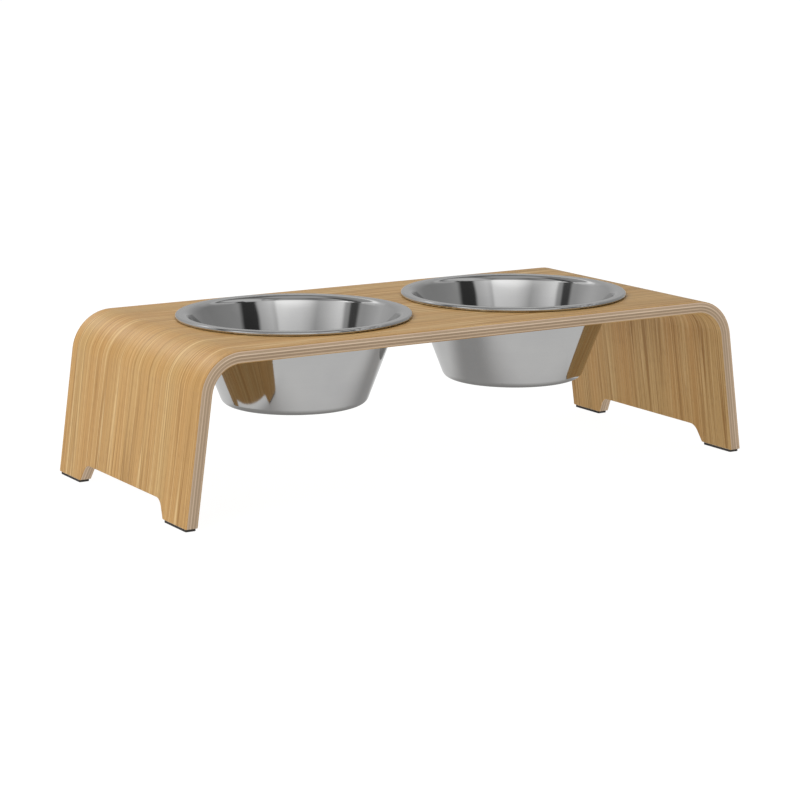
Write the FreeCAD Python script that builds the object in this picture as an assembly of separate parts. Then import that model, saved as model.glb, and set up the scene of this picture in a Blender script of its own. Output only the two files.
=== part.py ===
import FreeCAD
import Part

import math
import os

# Elevated dog feeder: a bench of moulded plywood that carries two steel bowls, which lift out.
# Millimetres, +Z up, +X along the bench, and the front towards -Y.
# The origin is on the floor, under the middle of the bench.

# Bowls, each deep-drawn from one sheet
MOUTH_RADIUS = 97.95         # outside of the wall, where its line meets the flange
BASE_RADIUS = 66.15          # outside of the wall, where its line meets the base
SEAT_TO_BASE = 79.75         # from the bench's top face down to the bowl's underside
STEEL_SHEET = 0.8
FLANGE_WIDTH = 10.55         # from the mouth to the rim's edge
LIP_RADIUS = 7.5             # on top, from the flange down into the wall
ROLL_RADIUS = 2.1            # outside of the rim's edge, rolled under until its end points up
BASE_CORNER_RADIUS = 8.4     # outside

# Bench, laid out round the bowls
RIM_GAP = 25.0               # between the two rims
RIM_TO_EDGE = 21.5           # from a rim to the front or back edge
RIM_TO_BEND = 15.2           # from a rim to where the top starts to bend
HOLE_CLEARANCE = 1.6         # from a bowl's mouth to the wall of its hole
BENCH_HEIGHT = 151.5         # from the floor to the top face
LEG_SPLAY_DEG = 8.0          # outward lean of each leg
BEND_RADIUS = 39.5           # on the outer face
ARRIS_RADIUS = 0.4           # sanded edge of the face veneers

# Laminate, from the outer face to the inner one
FACE_VENEER = 0.6
CORE_PLY = 1.4
CORE_PLY_COUNT = 7

# Feet, routed into the end of each leg
FOOT_WIDTH = 45.0
FOOT_CORNER_RADIUS = 0.8
NOTCH_HEIGHT = 16.0
NOTCH_SIDE_DEG = 30.0        # lean of a foot's inner side from the upright
NOTCH_CORNER_RADIUS = 12.0

# Rubber pad and adhesive film under each foot
PAD_THICKNESS = 2.3
FILM_THICKNESS = 0.2
PAD_END_INSET = 2.0          # from the foot's ends, along the depth
PAD_SIDE_INSET = 0.5         # from the foot's faces, along the length
PAD_CORNER_RADIUS = 1.5
PAD_EDGE_RADIUS = 0.4        # round the tread

OVERRUN = 5.0                # how far a cutting shape passes what it cuts
TOUCH = 0.001                # closer than this counts as the same place

# Worked out from the sizes above
SPLAY = math.radians(LEG_SPLAY_DEG)
THICKNESS = 2 * FACE_VENEER + CORE_PLY_COUNT * CORE_PLY
FOOT_Z = PAD_THICKNESS + FILM_THICKNESS
FOOT_SPAN = THICKNESS / math.cos(SPLAY)
RIM_RADIUS = MOUTH_RADIUS + FLANGE_WIDTH
HOLE_RADIUS = MOUTH_RADIUS + HOLE_CLEARANCE
BOWL_X = RIM_GAP / 2 + RIM_RADIUS
BENCH_DEPTH = 2 * (RIM_RADIUS + RIM_TO_EDGE)
BEND_X = BOWL_X + RIM_RADIUS + RIM_TO_BEND
LEG_RISE = BENCH_HEIGHT - BEND_RADIUS - FOOT_Z
LEG_END_X = BEND_X + BEND_RADIUS / math.cos(SPLAY) + LEG_RISE * math.tan(SPLAY)

UP = FreeCAD.Vector(0, 0, 1)
ALONG = FreeCAD.Vector(1, 0, 0)
BACK = FreeCAD.Vector(0, 1, 0)


def corner_arc(before, corner, after, radius):
    """Start, middle and end of the arc that rounds one corner."""
    to_before = (before - corner).normalize()
    to_after = (after - corner).normalize()
    half_angle = to_before.getAngle(to_after) / 2
    inward = (to_before + to_after).normalize()
    start = corner + to_before * (radius / math.tan(half_angle))
    middle = corner + inward * (radius / math.sin(half_angle) - radius)
    end = corner + to_after * (radius / math.tan(half_angle))
    return start, middle, end


def rounded_face(corners):
    """Flat face inside a closed outline, given as (point, corner radius) pairs."""
    stops = []
    for i, (corner, radius) in enumerate(corners):
        before = corners[i - 1][0]
        after = corners[(i + 1) % len(corners)][0]
        stops.append(corner_arc(before, corner, after, radius) if radius else (corner,))
    edges = []
    for i, stop in enumerate(stops):
        if len(stop) > 1:
            edges.append(Part.Arc(*stop).toShape())
        following = stops[(i + 1) % len(stops)][0]
        if stop[-1].distanceToPoint(following) > TOUCH:
            edges.append(Part.LineSegment(stop[-1], following).toShape())
    return Part.Face(Part.Wire(edges))


def bend_line(inset):
    """Corners of the bent sheet's line, seen from the front, at an inset from the outer face."""
    end_x = LEG_END_X + OVERRUN * math.tan(SPLAY) - inset / math.cos(SPLAY)
    end_z = FOOT_Z - OVERRUN
    top_z = BENCH_HEIGHT - inset
    corner_x = end_x - (top_z - end_z) * math.tan(SPLAY)
    y = -BENCH_DEPTH / 2 - OVERRUN
    radius = BEND_RADIUS - inset
    return [
        (FreeCAD.Vector(-end_x, y, end_z), 0),
        (FreeCAD.Vector(-corner_x, y, top_z), radius),
        (FreeCAD.Vector(corner_x, y, top_z), radius),
        (FreeCAD.Vector(end_x, y, end_z), 0),
    ]


def routed_outline():
    """Block with the outline that the pressed sheet is routed to: its depth, feet and notches."""
    half_depth = BENCH_DEPTH / 2
    foot_y = half_depth - FOOT_WIDTH
    notch_y = foot_y - NOTCH_HEIGHT * math.tan(math.radians(NOTCH_SIDE_DEG))
    half = [
        (half_depth, BENCH_HEIGHT + OVERRUN, 0),
        (half_depth, FOOT_Z, FOOT_CORNER_RADIUS),
        (foot_y, FOOT_Z, FOOT_CORNER_RADIUS),
        (notch_y, FOOT_Z + NOTCH_HEIGHT, NOTCH_CORNER_RADIUS),
    ]
    other_half = [(-y, z, radius) for y, z, radius in reversed(half)]
    x = -LEG_END_X - OVERRUN
    corners = [(FreeCAD.Vector(x, y, z), radius) for y, z, radius in half + other_half]
    return rounded_face(corners).extrude(ALONG * 2 * (LEG_END_X + OVERRUN))


def bowl_holes():
    """The two round cut-outs in the bench's top."""
    low_z = BENCH_HEIGHT - THICKNESS - OVERRUN
    length = THICKNESS + 2 * OVERRUN
    return [
        Part.makeCylinder(HOLE_RADIUS, length, FreeCAD.Vector(x, 0, low_z), UP)
        for x in (-BOWL_X, BOWL_X)
    ]


def make_ply(outer_inset, inner_inset, outline, holes):
    """One sheet of the laminate: bent from foot to foot, then routed and bored with the rest."""
    section = rounded_face(bend_line(outer_inset) + bend_line(inner_inset)[::-1])
    sheet = section.extrude(BACK * (BENCH_DEPTH + 2 * OVERRUN))
    return sheet.common(outline).cut(holes).Solids[0]


def round_arris(ply, inset):
    """Sand the edge of a ply's face at this inset, all the way round the sheet."""
    core = rounded_face(bend_line(inset)).extrude(BACK * (BENCH_DEPTH + 2 * OVERRUN))
    skin = core.Shells[0]
    faces = [
        face for face in ply.Faces
        if all(skin.distToShape(vertex)[0] < TOUCH for vertex in face.Vertexes)
    ]
    edges = [edge for face in faces for edge in face.Edges if len(edge.Vertexes) > 1]
    arris = [edge for edge in edges if sum(edge.isSame(other) for other in edges) == 1]
    return ply.makeFillet(ARRIS_RADIUS, arris)


def make_laminate():
    """The bench's sheets by name, from the outer face to the inner one."""
    outline = routed_outline()
    holes = bowl_holes()
    sheets = [("outer_face_veneer", FACE_VENEER)]
    sheets += [(f"core_ply_{i + 1}", CORE_PLY) for i in range(CORE_PLY_COUNT)]
    sheets += [("inner_face_veneer", FACE_VENEER)]
    plies = {}
    inset = 0
    for name, thickness in sheets:
        plies[name] = make_ply(inset, inset + thickness, outline, holes)
        inset += thickness
    plies["outer_face_veneer"] = round_arris(plies["outer_face_veneer"], 0)
    plies["inner_face_veneer"] = round_arris(plies["inner_face_veneer"], THICKNESS)
    return plies


def foot_places():
    """Middle of each foot's underside, by name."""
    x = LEG_END_X - FOOT_SPAN / 2
    y = BENCH_DEPTH / 2 - FOOT_WIDTH / 2
    return {
        "front_left": (-x, -y),
        "front_right": (x, -y),
        "back_left": (-x, y),
        "back_right": (x, y),
    }


def pad_block(place, low_z, height):
    """Block with the pad's outline under one foot."""
    half_x = FOOT_SPAN / 2 - PAD_SIDE_INSET
    half_y = FOOT_WIDTH / 2 - PAD_END_INSET
    signs = ((-1, -1), (1, -1), (1, 1), (-1, 1))
    corners = [
        (FreeCAD.Vector(place[0] + sx * half_x, place[1] + sy * half_y, low_z), PAD_CORNER_RADIUS)
        for sx, sy in signs
    ]
    return rounded_face(corners).extrude(UP * height)


def make_pad(place):
    """Rubber pad, with its tread's edge rounded."""
    pad = pad_block(place, 0, PAD_THICKNESS)
    tread = [edge for edge in pad.Edges if all(vertex.Z < TOUCH for vertex in edge.Vertexes)]
    return pad.makeFillet(PAD_EDGE_RADIUS, tread)


def make_bowl(x):
    """Bowl turned about its own axis: flat base, sloping wall, and a flange with a rolled edge."""
    base_z = BENCH_HEIGHT - SEAT_TO_BASE
    roll_z = BENCH_HEIGHT + ROLL_RADIUS
    rim_z = roll_z + ROLL_RADIUS
    flange_z = rim_z - STEEL_SHEET
    lean = math.atan2(MOUTH_RADIUS - BASE_RADIUS, flange_z - base_z)
    inward = STEEL_SHEET / math.cos(lean) - STEEL_SHEET * math.tan(lean)
    roll_end = RIM_RADIUS - 2 * ROLL_RADIUS
    roll_inside = ROLL_RADIUS - STEEL_SHEET
    underside = [
        (0, base_z, 0),
        (BASE_RADIUS, base_z, BASE_CORNER_RADIUS),
        (MOUTH_RADIUS, flange_z, LIP_RADIUS - STEEL_SHEET),
    ]
    roll = [
        (RIM_RADIUS - STEEL_SHEET, flange_z, roll_inside),
        (RIM_RADIUS - STEEL_SHEET, BENCH_HEIGHT + STEEL_SHEET, roll_inside),
        (roll_end + STEEL_SHEET, BENCH_HEIGHT + STEEL_SHEET, roll_inside),
        (roll_end + STEEL_SHEET, roll_z, 0),
        (roll_end, roll_z, 0),
        (roll_end, BENCH_HEIGHT, ROLL_RADIUS),
        (RIM_RADIUS, BENCH_HEIGHT, ROLL_RADIUS),
        (RIM_RADIUS, rim_z, ROLL_RADIUS),
    ]
    inside = [
        (MOUTH_RADIUS - inward, rim_z, LIP_RADIUS),
        (BASE_RADIUS - inward, base_z + STEEL_SHEET, BASE_CORNER_RADIUS - STEEL_SHEET),
        (0, base_z + STEEL_SHEET, 0),
    ]
    corners = [(FreeCAD.Vector(x + r, 0, z), radius) for r, z, radius in underside + roll + inside]
    return rounded_face(corners).revolve(FreeCAD.Vector(x, 0, 0), UP, 360)


def main():
    pieces = make_laminate()
    for name, place in foot_places().items():
        pieces[f"{name}_foot_pad"] = make_pad(place)
        pieces[f"{name}_pad_adhesive"] = pad_block(place, PAD_THICKNESS, FILM_THICKNESS)
    pieces["left_bowl"] = make_bowl(-BOWL_X)
    pieces["right_bowl"] = make_bowl(BOWL_X)
    os.makedirs("parts", exist_ok=True)
    for name, shape in pieces.items():
        shape.exportStep(os.path.join("parts", name + ".step"))
        print(name, "valid" if shape.isValid() else "not valid", round(shape.Volume, 1))


main()
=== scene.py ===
import math

import bmesh
import bpy
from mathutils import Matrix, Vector

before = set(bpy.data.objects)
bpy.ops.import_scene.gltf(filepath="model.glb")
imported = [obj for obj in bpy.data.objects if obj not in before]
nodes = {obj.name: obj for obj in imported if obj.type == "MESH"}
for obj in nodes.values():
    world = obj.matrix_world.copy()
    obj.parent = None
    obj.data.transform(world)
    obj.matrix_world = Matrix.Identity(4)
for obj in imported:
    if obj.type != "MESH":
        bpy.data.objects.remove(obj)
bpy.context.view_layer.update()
scene = bpy.context.scene
print("frame loaded,", len(nodes), "nodes")


def hexColour(code):
    # sRGB hex to the linear values that the sockets take
    channels = [int(code[i:i + 2], 16) / 255 for i in (1, 3, 5)]
    return [c / 12.92 if c <= 0.04045 else ((c + 0.055) / 1.055) ** 2.4 for c in channels] + [1.0]


def addNode(tree, kind, inputs=None, **settings):
    # one node: its settings, then each input as a value or as a link from another socket
    node = tree.nodes.new("ShaderNode" + kind)
    for key, value in settings.items():
        setattr(node, key, value)
    for key, value in (inputs or {}).items():
        if isinstance(value, bpy.types.NodeSocket):
            tree.links.new(value, node.inputs[key])
        else:
            node.inputs[key].default_value = value
    return node


def newMaterial(name):
    material = bpy.data.materials.new(name)
    material.use_nodes = True
    material.node_tree.nodes.clear()
    return material, material.node_tree


def setMaterial(obj, material):
    if obj.material_slots:
        for slot in obj.material_slots:
            slot.material = material
    else:
        obj.data.materials.append(material)


# the bench's bent sheet, in metres and degrees
bench = {
    "bendX": 0.2447,        # where each bend starts
    "bendZ": 0.112,         # height of the bend's centre
    "bendRadius": 0.0395,   # outside of the bend
    "legSplay": 8.0,
    "faceVeneer": 0.0006,
    "corePly": 0.0014,
}


def sheetCoordinates(tree):
    # length along the sheet, round both bends and down the legs; width across it;
    # depth under its outer face
    splay = math.radians(bench["legSplay"])
    place = addNode(tree, "TexCoord")
    xyz = addNode(tree, "SeparateXYZ", {0: place.outputs["Object"]})
    side = addNode(tree, "Math", {0: xyz.outputs[0]}, operation="SIGN")
    reach = addNode(tree, "Math", {0: xyz.outputs[0]}, operation="ABSOLUTE")
    px = addNode(tree, "Math", {0: reach.outputs[0], 1: bench["bendX"]}, operation="SUBTRACT")
    pz = addNode(tree, "Math", {0: xyz.outputs[2], 1: bench["bendZ"]}, operation="SUBTRACT")
    angle = addNode(tree, "Math", {0: px.outputs[0], 1: pz.outputs[0]}, operation="ARCTAN2")
    turn = addNode(tree, "Clamp", {0: angle.outputs[0], 1: 0.0, 2: math.pi / 2 - splay})
    flat = addNode(tree, "Math", {0: reach.outputs[0], 1: bench["bendX"]}, operation="MINIMUM")
    arc = addNode(tree, "Math", {0: turn.outputs[0], 1: bench["bendRadius"], 2: flat.outputs[0]},
                  operation="MULTIPLY_ADD")
    down = addNode(tree, "Math", {0: pz.outputs[0], 1: -math.cos(splay)}, operation="MULTIPLY")
    leg = addNode(tree, "Math", {0: px.outputs[0], 1: math.sin(splay), 2: down.outputs[0]},
                  operation="MULTIPLY_ADD")
    legRun = addNode(tree, "Math", {0: leg.outputs[0], 1: 0.0}, operation="MAXIMUM")
    run = addNode(tree, "Math", {0: arc.outputs[0], 1: legRun.outputs[0]}, operation="ADD")
    along = addNode(tree, "Math", {0: run.outputs[0], 1: side.outputs[0]}, operation="MULTIPLY")
    outX = addNode(tree, "Math", {0: turn.outputs[0]}, operation="SINE")
    outZ = addNode(tree, "Math", {0: turn.outputs[0]}, operation="COSINE")
    partX = addNode(tree, "Math", {0: px.outputs[0], 1: outX.outputs[0]}, operation="MULTIPLY")
    level = addNode(tree, "Math", {0: pz.outputs[0], 1: outZ.outputs[0], 2: partX.outputs[0]},
                    operation="MULTIPLY_ADD")
    depth = addNode(tree, "Math", {0: bench["bendRadius"], 1: level.outputs[0]}, operation="SUBTRACT")
    return along.outputs[0], xyz.outputs[1], depth.outputs[0]


# oak face veneer: what a user would change, sizes in metres
oak = {
    "greyTan": "#B9955E", "warmTan": "#BA9056", "paleStreak": "#D8B985", "darkStreak": "#A07534",
    "lineBrown": "#895E22", "poreBrown": "#7D5524",
    "waver": (0.45, 0.05, 0.0022),      # length, width and sideways swing of the wandering grain
    # length, width and detail of each pattern; real lines are about 0.3 mm wide and real pores about
    # 0.25 mm, drawn wider so that they show
    "patterns": {
        "zone": (1.2, 0.030, 1.0),
        "streak": (0.45, 0.0025, 3.0),
        "line": (0.40, 0.0065, 0.0),
        "fineLine": (0.22, 0.0030, 0.0),
        "paleLine": (0.5, 0.0085, 0.0),
        "strength": (0.30, 0.0120, 1.0),    # how strongly each line shows, along it and one to the next
        "pore": (0.011, 0.0007, 1.0),
    },
    "patternStep": 7.3, "patternRoughness": 0.65,   # keeps the patterns apart; how rough their detail is
    # where each pattern starts and is full, and the most of its colour that it gives
    "zoneRange": (0.35, 0.65),
    "streakDark": (0.48, 0.28, 0.34), "streakPale": (0.52, 0.74, 0.34), "poreRange": (0.60, 0.72, 0.30),
    "strengthRange": (0.35, 0.65), "strengthShare": (0.25, 1.0),
    # a line lies where its pattern passes a middle value: that value, half its width, its strength
    "lineBrownAt": (0.5, 0.075, 0.74), "fineLineAt": (0.5, 0.10, 0.52), "paleLineAt": (0.46, 0.045),
    "lineCore": 5,                      # how many times wider a line is than its full middle
    "roughnessRange": (0.3, 0.7), "roughness": (0.38, 0.50), "shine": 0.26,
    "relief": (0.25, 0.0002),           # strength and depth of the pores and lines
    # which part of the pattern each face shows, and how strong its pale lines are
    "outside": ((0.0, 0.0, 0.0), 0.65), "inside": ((3.7, 1.3, 0.0), 0.40),
}


def makeOak(name, shift, paleShare):
    # sliced oak veneer under clear matt lacquer: straight thin dark and pale lines the length of the
    # sheet, broad bands of greyer and warmer tan, short open pores that dull the shine
    material, tree = newMaterial(name)
    along, across, _ = sheetCoordinates(tree)
    place = addNode(tree, "CombineXYZ", {0: along, 1: across})
    moved = addNode(tree, "Mapping", {"Vector": place.outputs[0], "Location": shift})
    waverLength, waverWidth, waverSwing = oak["waver"]
    wide = addNode(tree, "Mapping", {"Vector": moved.outputs[0],
                                     "Scale": (1 / waverLength, 1 / waverWidth, 1)})
    waver = addNode(tree, "TexNoise", {"Vector": wide.outputs[0], "Scale": 1.0, "Detail": 1.0},
                    noise_dimensions="2D")
    centred = addNode(tree, "Math", {0: waver.outputs[0], 1: 0.5}, operation="SUBTRACT")
    swing = addNode(tree, "Math", {0: centred.outputs[0], 1: waverSwing}, operation="MULTIPLY")
    swingVector = addNode(tree, "CombineXYZ", {1: swing.outputs[0]})
    grain = addNode(tree, "VectorMath", {0: moved.outputs[0], 1: swingVector.outputs[0]}, operation="ADD")

    noises = {}
    for key, (length, width, detail) in oak["patterns"].items():
        scaled = addNode(tree, "Mapping", {
            "Vector": grain.outputs[0], "Location": (0.0, oak["patternStep"] * len(noises), 0.0),
            "Scale": (1 / length, 1 / width, 1.0)})
        noise = addNode(tree, "TexNoise", {
            "Vector": scaled.outputs[0], "Scale": 1.0, "Detail": detail,
            "Roughness": oak["patternRoughness"]}, noise_dimensions="2D")
        noises[key] = noise.outputs[0]

    zone = addNode(tree, "MapRange", {0: noises["zone"], 1: oak["zoneRange"][0], 2: oak["zoneRange"][1]})
    base = addNode(tree, "Mix", {0: zone.outputs[0], 6: hexColour(oak["greyTan"]),
                                 7: hexColour(oak["warmTan"])}, data_type="RGBA")
    start, full, most = oak["streakDark"]
    streakDark = addNode(tree, "MapRange", {0: noises["streak"], 1: start, 2: full, 4: most})
    darker = addNode(tree, "Mix", {0: streakDark.outputs[0], 6: base.outputs[2],
                                   7: hexColour(oak["darkStreak"])}, data_type="RGBA")
    start, full, most = oak["streakPale"]
    streakPale = addNode(tree, "MapRange", {0: noises["streak"], 1: start, 2: full, 4: most})
    paler = addNode(tree, "Mix", {0: streakPale.outputs[0], 6: darker.outputs[2],
                                  7: hexColour(oak["paleStreak"])}, data_type="RGBA")
    lines = {}
    for key, (middle, half, most) in (("line", oak["lineBrownAt"]), ("fineLine", oak["fineLineAt"]),
                                      ("paleLine", oak["paleLineAt"] + (paleShare,))):
        off = addNode(tree, "Math", {0: noises[key], 1: middle}, operation="SUBTRACT")
        near = addNode(tree, "Math", {0: off.outputs[0]}, operation="ABSOLUTE")
        lines[key] = addNode(tree, "MapRange", {0: near.outputs[0], 1: half,
                                                2: half / oak["lineCore"], 4: most})
    strength = addNode(tree, "MapRange", {
        0: noises["strength"], 1: oak["strengthRange"][0], 2: oak["strengthRange"][1],
        3: oak["strengthShare"][0], 4: oak["strengthShare"][1]})
    line = addNode(tree, "Math", {0: lines["line"].outputs[0], 1: lines["fineLine"].outputs[0]},
                   operation="MAXIMUM")
    lineShare = addNode(tree, "Math", {0: line.outputs[0], 1: strength.outputs[0]}, operation="MULTIPLY")
    lined = addNode(tree, "Mix", {0: lineShare.outputs[0], 6: paler.outputs[2],
                                  7: hexColour(oak["lineBrown"])}, data_type="RGBA")
    paleLined = addNode(tree, "Mix", {0: lines["paleLine"].outputs[0], 6: lined.outputs[2],
                                      7: hexColour(oak["paleStreak"])}, data_type="RGBA")
    start, full, most = oak["poreRange"]
    pore = addNode(tree, "MapRange", {0: noises["pore"], 1: start, 2: full, 4: most})
    colour = addNode(tree, "Mix", {0: pore.outputs[0], 6: paleLined.outputs[2],
                                   7: hexColour(oak["poreBrown"])}, data_type="RGBA")

    rough = addNode(tree, "MapRange", {
        0: noises["streak"], 1: oak["roughnessRange"][0], 2: oak["roughnessRange"][1],
        3: oak["roughness"][0], 4: oak["roughness"][1]})
    sunk = addNode(tree, "Math", {0: pore.outputs[0], 1: line.outputs[0]}, operation="ADD")
    height = addNode(tree, "Math", {0: 1.0, 1: sunk.outputs[0]}, operation="SUBTRACT")
    bump = addNode(tree, "Bump", {"Height": height.outputs[0], "Strength": oak["relief"][0],
                                  "Distance": oak["relief"][1]})
    shader = addNode(tree, "BsdfPrincipled", {
        "Base Color": colour.outputs[2], "Roughness": rough.outputs[0], "Normal": bump.outputs[0],
        "Specular IOR Level": oak["shine"]})
    addNode(tree, "OutputMaterial", {0: shader.outputs[0]})
    return material


# core plies on the sheet's edges, sizes in metres
core = {
    # each ply from the outer face in, by turns with the sheet's length and across it
    "plies": ("#CAB095", "#B1987D", "#D2BBA0", "#9C856B", "#BFA78B", "#9C846A", "#C0A78B"),
    "variation": (0.90, 1.10), "variationRange": (0.7, 1.3),    # darker and lighter marks in a ply
    "glueBrown": "#7A604B", "glueLine": 0.00019, "glueShare": 0.7,
    "glueCore": 3,                          # how many times wider it is than its full middle
    "legTone": "#AC957B", "legShare": 0.42,     # the legs' edges are sanded more evenly
    "longGrain": (0.024, 0.0011, 0.0005),   # length, width and depth of the grain's marks
    "endGrain": (0.0009, 0.024, 0.0007),
    "patch": 0.14,                          # slow change along the sheet
    "roughnessRange": (0.3, 0.7), "roughness": (0.52, 0.68),
    "relief": (0.25, 0.0002),               # strength and depth of the marks
}


def makeCore(name, tone, marks):
    # sanded edge of a rotary-cut ply: long-grain plies show pale thin streaks, end-grain plies dark
    # close speckle, each with a thin brown glue line where it meets the next
    material, tree = newMaterial(name)
    along, across, depth = sheetCoordinates(tree)
    place = addNode(tree, "CombineXYZ", {0: along, 1: across, 2: depth})
    fine = addNode(tree, "Mapping", {"Vector": place.outputs[0], "Scale": [1 / size for size in marks]})
    marksNoise = addNode(tree, "TexNoise", {"Vector": fine.outputs[0], "Scale": 1.0, "Detail": 2.0})
    slow = addNode(tree, "Mapping", {"Vector": place.outputs[0], "Scale": [1 / core["patch"]] * 3})
    patch = addNode(tree, "TexNoise", {"Vector": slow.outputs[0], "Scale": 1.0, "Detail": 2.0})
    both = addNode(tree, "Math", {0: marksNoise.outputs[0], 1: patch.outputs[0]}, operation="ADD")
    share = addNode(tree, "MapRange", {0: both.outputs[0], 1: core["variationRange"][0],
                                       2: core["variationRange"][1]})
    low, high = ([channel * change for channel in hexColour(tone)[:3]] + [1.0]
                 for change in core["variation"])
    wood = addNode(tree, "Mix", {0: share.outputs[0], 6: low, 7: high}, data_type="RGBA")
    inCore = addNode(tree, "Math", {0: depth, 1: bench["faceVeneer"]}, operation="SUBTRACT")
    fromGlue = addNode(tree, "Math", {0: inCore.outputs[0], 1: bench["corePly"] / 2}, operation="PINGPONG")
    glue = addNode(tree, "MapRange", {0: fromGlue.outputs[0], 1: core["glueLine"],
                                      2: core["glueLine"] / core["glueCore"], 4: core["glueShare"]})
    glued = addNode(tree, "Mix", {0: glue.outputs[0], 6: wood.outputs[2],
                                  7: hexColour(core["glueBrown"])}, data_type="RGBA")
    away = addNode(tree, "Math", {0: along}, operation="ABSOLUTE")
    onLeg = addNode(tree, "MapRange", {
        0: away.outputs[0], 1: bench["bendX"], 2: bench["bendX"] + bench["bendRadius"], 4: core["legShare"]})
    colour = addNode(tree, "Mix", {0: onLeg.outputs[0], 6: glued.outputs[2],
                                   7: hexColour(core["legTone"])}, data_type="RGBA")
    rough = addNode(tree, "MapRange", {
        0: marksNoise.outputs[0], 1: core["roughnessRange"][0], 2: core["roughnessRange"][1],
        3: core["roughness"][0], 4: core["roughness"][1]})
    bump = addNode(tree, "Bump", {"Height": marksNoise.outputs[0], "Strength": core["relief"][0],
                                  "Distance": core["relief"][1]})
    shader = addNode(tree, "BsdfPrincipled", {
        "Base Color": colour.outputs[2], "Roughness": rough.outputs[0], "Normal": bump.outputs[0]})
    addNode(tree, "OutputMaterial", {0: shader.outputs[0]})
    return material


setMaterial(nodes["outer_face_veneer"], makeOak("slicedOakClearMattLacquer", *oak["outside"]))
setMaterial(nodes["inner_face_veneer"], makeOak("slicedOakClearMattLacquerInside", *oak["inside"]))
for i, tone in enumerate(core["plies"], start=1):
    grainWay = "LongGrain" if i % 2 else "EndGrain"
    marks = core["longGrain"] if i % 2 else core["endGrain"]
    setMaterial(nodes["core_ply_%d" % i], makeCore("sandedVeneerCore%s%d" % (grainWay, i), tone, marks))
print("bench dressed")


# the bowls, sizes in metres
bowl = {
    "centreX": 0.121,
    "steel": ("#BCBCBC", "#C2C2C1"),
    "polishMark": 0.0007, "markShare": 0.3,     # real marks are finer, drawn wider so that they show
    "cloud": 1 / 28,                        # slow change of the polish, about 36 mm wide
    "polishRange": (0.4, 0.9), "roughness": (0.05, 0.09),
    "relief": (0.002, 0.0001),              # strength and depth of the polish marks
    "rimFrom": 0.142, "rimRoughness": 0.10,     # the flat of the rim is satin
    # turns the outside wall's shine towards the upright, by about 9 degrees
    "wallEase": 0.158,
    # and the inside wall's upwards, near the mouth
    "mouthEase": 0.07, "mouthFrom": 0.124, "mouthTo": 0.149,
    "cornerShadeSteel": "#B0B0AE",               # painted shade: the drawn corner and the base are darker, as where they mirror the shaded floor under the bench
    # how far up each part faces, where it starts and is full; the outside wall faces down by 0.36,
    # the drawn corner and the base by more
    "wallFacing": (-0.2, -0.3), "cornerFacing": (-0.42, -0.75), "insideFacing": (0.2, 0.3),
    "rimFacing": (0.85, 0.97),
}


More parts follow.
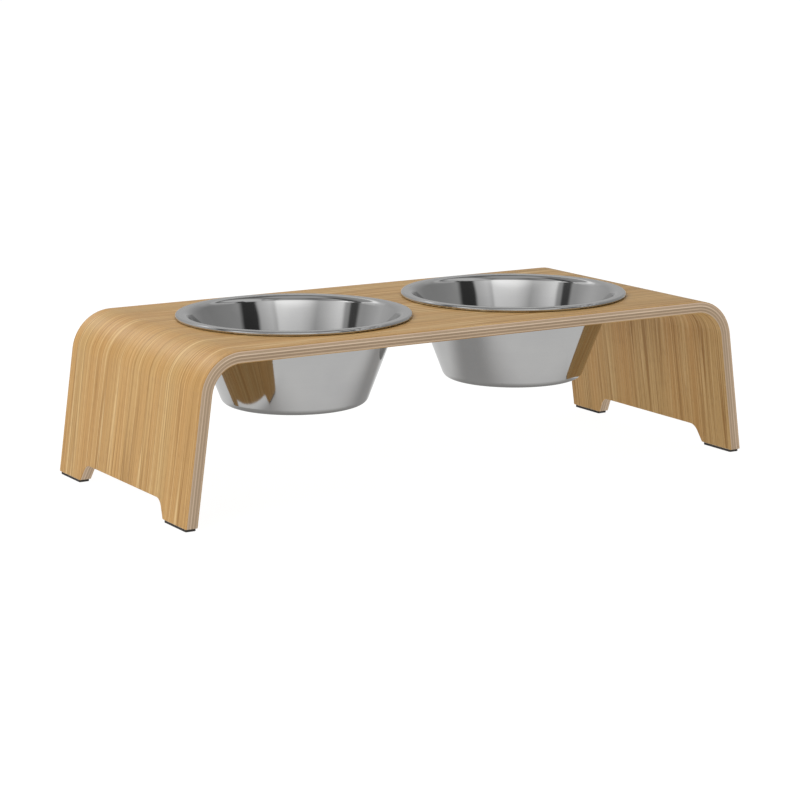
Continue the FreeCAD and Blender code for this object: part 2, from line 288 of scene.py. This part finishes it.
def makeSteel(name):
    # deep-drawn stainless steel polished on a spindle: clear soft-edged reflections, faint rings
    # round the axis
    material, tree = newMaterial(name)
    place = addNode(tree, "TexCoord")
    xyz = addNode(tree, "SeparateXYZ", {0: place.outputs["Object"]})
    reach = addNode(tree, "Math", {0: xyz.outputs[0]}, operation="ABSOLUTE")
    fromAxis = addNode(tree, "Math", {0: reach.outputs[0], 1: bowl["centreX"]}, operation="SUBTRACT")
    flat = addNode(tree, "CombineXYZ", {0: fromAxis.outputs[0], 1: xyz.outputs[1]})
    radius = addNode(tree, "VectorMath", {0: flat.outputs[0]}, operation="LENGTH")
    ring = addNode(tree, "CombineXYZ", {0: radius.outputs["Value"], 1: xyz.outputs[2]})
    fine = addNode(tree, "Mapping", {"Vector": ring.outputs[0], "Scale": [1 / bowl["polishMark"]] * 3})
    marks = addNode(tree, "TexNoise", {"Vector": fine.outputs[0], "Scale": 1.0, "Detail": 2.0},
                    noise_dimensions="2D")
    cloud = addNode(tree, "TexNoise", {"Vector": place.outputs["Object"], "Scale": 1 / bowl["cloud"],
                                       "Detail": 2.0})
    both = addNode(tree, "Math", {0: marks.outputs[0], 1: bowl["markShare"], 2: cloud.outputs[0]},
                   operation="MULTIPLY_ADD")
    start, full = bowl["polishRange"]
    share = addNode(tree, "MapRange", {0: both.outputs[0], 1: start, 2: full})
    steel = addNode(tree, "Mix", {0: share.outputs[0], 6: hexColour(bowl["steel"][0]),
                                  7: hexColour(bowl["steel"][1])}, data_type="RGBA")
    rough = addNode(tree, "MapRange", {0: both.outputs[0], 1: start, 2: full,
                                       3: bowl["roughness"][0], 4: bowl["roughness"][1]})
    bump = addNode(tree, "Bump", {"Height": marks.outputs[0], "Strength": bowl["relief"][0],
                                  "Distance": bowl["relief"][1]})
    facing = addNode(tree, "SeparateXYZ", {0: bump.outputs[0]})
    areas = {}
    for key, most in (("corner", 1.0), ("wall", bowl["wallEase"]), ("inside", 1.0),
                      ("rim", bowl["rimRoughness"])):
        start, full = bowl[key + "Facing"]
        area = addNode(tree, "MapRange", {0: facing.outputs[2], 1: start, 2: full, 4: most})
        areas[key] = area.outputs[0]
    # painted shade: the steel's colour is darkened where it faces down, on the drawn corner and the base
    colour = addNode(tree, "Mix", {0: areas["corner"], 6: steel.outputs[2],
                                   7: hexColour(bowl["cornerShadeSteel"])}, data_type="RGBA")
    mouth = addNode(tree, "MapRange", {0: xyz.outputs[2], 1: bowl["mouthFrom"], 2: bowl["mouthTo"],
                                       4: bowl["mouthEase"]})
    ease = addNode(tree, "Math", {0: areas["inside"], 1: mouth.outputs[0], 2: areas["wall"]},
                   operation="MULTIPLY_ADD")
    lift = addNode(tree, "CombineXYZ", {2: ease.outputs[0]})
    onRim = addNode(tree, "Math", {0: xyz.outputs[2], 1: bowl["rimFrom"]}, operation="GREATER_THAN")
    dull = addNode(tree, "Math", {0: areas["rim"], 1: onRim.outputs[0], 2: rough.outputs[0]},
                   operation="MULTIPLY_ADD")
    eased = addNode(tree, "VectorMath", {0: bump.outputs[0], 1: lift.outputs[0]}, operation="ADD")
    shine = addNode(tree, "VectorMath", {0: eased.outputs[0]}, operation="NORMALIZE")
    shader = addNode(tree, "BsdfPrincipled", {
        "Base Color": colour.outputs[2], "Metallic": 1.0, "Roughness": dull.outputs[0],
        "Normal": shine.outputs[0]})
    addNode(tree, "OutputMaterial", {0: shader.outputs[0]})
    return material


steel = makeSteel("spunPolishedStainlessSteel")
for side in ("left", "right"):
    setMaterial(nodes[side + "_bowl"], steel)
print("bowls dressed")


# pads under the feet, sizes in metres
pad = {
    "rubber": ("#231F1C", "#35302B"), "rubberRoughness": (0.72, 0.9),
    "cloud": 1 / 60,                        # slow change of the rubber's grey, about 17 mm wide
    "grain": 0.0009, "grainRelief": (0.3, 0.0003),
    "film": ("#B9B2A2", "#CFC9BA"), "filmRoughness": (0.35, 0.6),
    "bubble": 0.0016, "bubbleRelief": (0.2, 0.0001),
}


def makePadRubber(name):
    # die-cut rubber sheet: dark warm grey, dull, with a fine pebbled skin
    material, tree = newMaterial(name)
    place = addNode(tree, "TexCoord")
    fine = addNode(tree, "Mapping", {"Vector": place.outputs["Object"], "Scale": [1 / pad["grain"]] * 3})
    grain = addNode(tree, "TexVoronoi", {"Vector": fine.outputs[0], "Scale": 1.0}, feature="SMOOTH_F1")
    cloud = addNode(tree, "TexNoise", {"Vector": place.outputs["Object"], "Scale": 1 / pad["cloud"],
                                       "Detail": 3.0})
    colour = addNode(tree, "Mix", {0: cloud.outputs[0], 6: hexColour(pad["rubber"][0]),
                                   7: hexColour(pad["rubber"][1])}, data_type="RGBA")
    rough = addNode(tree, "MapRange", {0: grain.outputs[0], 3: pad["rubberRoughness"][0],
                                       4: pad["rubberRoughness"][1]})
    bump = addNode(tree, "Bump", {"Height": grain.outputs[0], "Strength": pad["grainRelief"][0],
                                  "Distance": pad["grainRelief"][1]})
    shader = addNode(tree, "BsdfPrincipled", {
        "Base Color": colour.outputs[2], "Roughness": rough.outputs[0], "Normal": bump.outputs[0]})
    addNode(tree, "OutputMaterial", {0: shader.outputs[0]})
    return material


def makeFilm(name):
    # rolled adhesive film seen at its edge: milky, slightly cloudy with tiny bubbles
    material, tree = newMaterial(name)
    place = addNode(tree, "TexCoord")
    fine = addNode(tree, "Mapping", {"Vector": place.outputs["Object"], "Scale": [1 / pad["bubble"]] * 3})
    bubbles = addNode(tree, "TexNoise", {"Vector": fine.outputs[0], "Scale": 1.0, "Detail": 2.0})
    colour = addNode(tree, "Mix", {0: bubbles.outputs[0], 6: hexColour(pad["film"][0]),
                                   7: hexColour(pad["film"][1])}, data_type="RGBA")
    rough = addNode(tree, "MapRange", {0: bubbles.outputs[0], 3: pad["filmRoughness"][0],
                                       4: pad["filmRoughness"][1]})
    bump = addNode(tree, "Bump", {"Height": bubbles.outputs[0], "Strength": pad["bubbleRelief"][0],
                                  "Distance": pad["bubbleRelief"][1]})
    shader = addNode(tree, "BsdfPrincipled", {
        "Base Color": colour.outputs[2], "Roughness": rough.outputs[0], "Normal": bump.outputs[0]})
    addNode(tree, "OutputMaterial", {0: shader.outputs[0]})
    return material


rubber = makePadRubber("dieCutPebbledRubber")
film = makeFilm("rolledAdhesiveFilm")
for corner in ("front_left", "front_right", "back_left", "back_right"):
    setMaterial(nodes[corner + "_foot_pad"], rubber)
    setMaterial(nodes[corner + "_pad_adhesive"], film)
print("pads dressed")


# floor and light, sizes in metres
studio = {
    "floorSize": 60.0, "floorHeight": -0.0002, "floorColours": ("#5E5E5D", "#606060"),
    "floorMottle": 0.025, "floorRoughness": 0.9, "floorShine": 0.1,
    "floorGlow": 0.955,                 # a white sheet lit from below
    # what the steel mirrors of the floor: less than the eye sees, and least in the shade of the bench
    "floorMirrored": 0.70, "shadeShare": 0.48, "shadeX": (0.315, 0.285), "shadeY": (0.205, 0.040),
    # brightness round the horizon, by degrees to the right of the camera's side
    "ring": ((-180, 0.80), (-150, 0.76), (-115, 1.00), (-92, 0.68), (-85, 0.66), (-81, 0.11),
             (-72, 0.11), (-70, 0.55), (-65, 0.62), (-61, 1.32), (-56, 1.30), (-46, 1.06), (-36, 0.81),
             (-26, 0.63), (-16, 0.89), (-6, 1.06), (15, 1.20), (22, 1.20), (25, 0.80), (31, 0.94),
             (41, 0.83), (46, 0.77), (50.5, 0.06), (69, 0.06), (75, 0.57), (125, 0.46), (180, 0.80)),
    # share of that by the sine of the height: strongest where the soft screens end, dim above them
    "rise": ((0.0, 0.60), (0.47, 0.68), (0.55, 0.81), (0.60, 0.90), (0.62, 0.98), (0.645, 1.40),
             (0.68, 1.40), (0.70, 0.50), (0.80, 0.45), (0.97, 0.26)),
    # the screens lean apart between these sines of the height, by this share of the degrees
    "spread": (0.53, 0.66, 0.86),
    # closes the dark gaps towards the horizon: sines of the height, brightness
    "lowFill": (0.30, 0.43, 0.50),
    # a soft panel overhead and one high on the right, where each starts and is full, by the sine of
    # the height and by the share of the way to the right, and how bright each is
    "overhead": (0.92, 0.975), "overheadGlow": 0.52,
    "rightHigh": (0.70, 0.78), "rightFrom": (0.28, 0.45), "rightGlow": 0.74,
    "backdrop": 1.0,                    # what stands behind the object is plain white
    # soft lights: place, size, power; not on the steel, which mirrors the screens alone, nor on the
    # veneer inside, which the floor lights
    "lights": {"topLight": ((-0.35, 0.0, 1.15), 0.9, 5.4), "leftLight": ((-2.6, -1.0, 0.8), 1.6, 25.0),
               "backLight": ((-0.6, 2.5, 1.55), 1.2, 9.0)},
    "unlit": ("left_bowl", "right_bowl", "inner_face_veneer"),
}
camera = {
    "place": (-1.21122, -1.94957, 0.52735), "target": (-0.00727, -0.00017, 0.06115),
    "lens": 111.34, "sensor": 36.0, "farthest": 200.0,
}
white = hexColour("#FFFFFF")

floorMesh = bpy.data.meshes.new("floor")
shape = bmesh.new()
bmesh.ops.create_grid(shape, x_segments=4, y_segments=4, size=studio["floorSize"])
bmesh.ops.translate(shape, verts=shape.verts, vec=(0.0, 0.0, studio["floorHeight"]))
shape.to_mesh(floorMesh)
shape.free()
floor = bpy.data.objects.new("floor", floorMesh)
scene.collection.objects.link(floor)
material, tree = newMaterial("paintedStudioFloor")
place = addNode(tree, "TexCoord")
mottle = addNode(tree, "TexNoise", {"Vector": place.outputs["Object"], "Scale": 1 / studio["floorMottle"],
                                    "Detail": 3.0})
colour = addNode(tree, "Mix", {0: mottle.outputs[0], 6: hexColour(studio["floorColours"][0]),
                               7: hexColour(studio["floorColours"][1])}, data_type="RGBA")
xyz = addNode(tree, "SeparateXYZ", {0: place.outputs["Object"]})
shades = []
for axis, (edge, full) in enumerate((studio["shadeX"], studio["shadeY"])):
    away = addNode(tree, "Math", {0: xyz.outputs[axis]}, operation="ABSOLUTE")
    shades.append(addNode(tree, "MapRange", {0: away.outputs[0], 1: edge, 2: full},
                          interpolation_type="SMOOTHSTEP"))
shade = addNode(tree, "Math", {0: shades[0].outputs[0], 1: shades[1].outputs[0]}, operation="MULTIPLY")
lit = studio["floorMirrored"]
mirrored = addNode(tree, "MapRange", {0: shade.outputs[0], 3: lit, 4: lit * (1 - studio["shadeShare"])})
rays = addNode(tree, "LightPath")
glow = addNode(tree, "Mix", {0: rays.outputs["Is Glossy Ray"], 2: studio["floorGlow"],
                             3: mirrored.outputs[0]})
shader = addNode(tree, "BsdfPrincipled", {
    "Base Color": colour.outputs[2], "Roughness": studio["floorRoughness"],
    "Specular IOR Level": studio["floorShine"], "Emission Color": white,
    "Emission Strength": glow.outputs[0]})
addNode(tree, "OutputMaterial", {0: shader.outputs[0]})
setMaterial(floor, material)

world = bpy.data.worlds.new("softStudio")
world.use_nodes = True
tree = world.node_tree
tree.nodes.clear()
look = Vector(camera["place"]) - Vector(camera["target"])
direction = addNode(tree, "TexCoord")
turned = addNode(tree, "VectorRotate", {"Vector": direction.outputs["Generated"],
                                        "Angle": -math.atan2(look.y, look.x)}, rotation_type="Z_AXIS")
xyz = addNode(tree, "SeparateXYZ", {0: turned.outputs[0]})
heading = addNode(tree, "Math", {0: xyz.outputs[1], 1: xyz.outputs[0]}, operation="ARCTAN2")
spreadFrom, spreadTo, spreadShare = studio["spread"]
spread = addNode(tree, "MapRange", {0: xyz.outputs[2], 1: spreadFrom, 2: spreadTo, 3: 1.0, 4: spreadShare},
                 interpolation_type="SMOOTHSTEP")
leaning = addNode(tree, "Math", {0: heading.outputs[0], 1: spread.outputs[0]}, operation="MULTIPLY")
headingShare = addNode(tree, "MapRange", {0: leaning.outputs[0], 1: -math.pi, 2: math.pi})
ring = addNode(tree, "ValToRGB", {0: headingShare.outputs[0]})
rise = addNode(tree, "ValToRGB", {0: xyz.outputs[2]})
ringStops = [((degrees + 180) / 360, grey) for degrees, grey in studio["ring"]]
for ramp, stops in ((ring, ringStops), (rise, studio["rise"])):
    for i, (position, grey) in enumerate(stops):
        # a new ramp already has two stops
        stop = ramp.color_ramp.elements[i] if i < 2 else ramp.color_ramp.elements.new(position)
        stop.position = position
        stop.color = (grey, grey, grey, 1.0)
fillFrom, fillTo, fillGlow = studio["lowFill"]
fill = addNode(tree, "MapRange", {0: xyz.outputs[2], 1: fillFrom, 2: fillTo, 3: fillGlow, 4: 0.0})
filled = addNode(tree, "Math", {0: ring.outputs[0], 1: fill.outputs[0]}, operation="MAXIMUM")
screens = addNode(tree, "Math", {0: filled.outputs[0], 1: rise.outputs[0]}, operation="MULTIPLY")
panels = {}
for axis, key in ((2, "overhead"), (2, "rightHigh"), (1, "rightFrom")):
    panel = addNode(tree, "MapRange", {0: xyz.outputs[axis], 1: studio[key][0], 2: studio[key][1]},
                    interpolation_type="SMOOTHSTEP")
    panels[key] = panel.outputs[0]
onRight = addNode(tree, "Math", {0: panels["rightHigh"], 1: panels["rightFrom"]}, operation="MULTIPLY")
above = addNode(tree, "Mix", {0: panels["overhead"], 2: screens.outputs[0], 3: studio["overheadGlow"]})
around = addNode(tree, "Mix", {0: onRight.outputs[0], 2: above.outputs[0], 3: studio["rightGlow"]})
rays = addNode(tree, "LightPath")
bright = addNode(tree, "Mix", {0: rays.outputs["Is Camera Ray"], 2: around.outputs[0],
                               3: studio["backdrop"]})
sky = addNode(tree, "Background", {0: white, 1: bright.outputs[0]})
addNode(tree, "OutputWorld", {0: sky.outputs[0]})
scene.world = world
scene.view_settings.view_transform = "Standard"

dullPieces = bpy.data.collections.new("dullPieces")
for name, obj in nodes.items():
    if name not in studio["unlit"]:
        dullPieces.objects.link(obj)
dullPieces.objects.link(floor)
for name, (spot, size, power) in studio["lights"].items():
    lightData = bpy.data.lights.new(name, "AREA")
    lightData.size = size
    lightData.energy = power
    light = bpy.data.objects.new(name, lightData)
    light.location = spot
    light.rotation_euler = (-Vector(spot)).to_track_quat("-Z", "Y").to_euler()
    light.light_linking.receiver_collection = dullPieces
    scene.collection.objects.link(light)
print("studio lit")

cameraData = bpy.data.cameras.new("camera")
cameraData.lens = camera["lens"]
cameraData.sensor_width = camera["sensor"]
cameraData.clip_end = camera["farthest"]
cameraObject = bpy.data.objects.new("camera", cameraData)
cameraObject.location = camera["place"]
cameraObject.rotation_euler = (-look).to_track_quat("-Z", "Y").to_euler()
scene.collection.objects.link(cameraObject)
scene.camera = cameraObject
print("camera set")
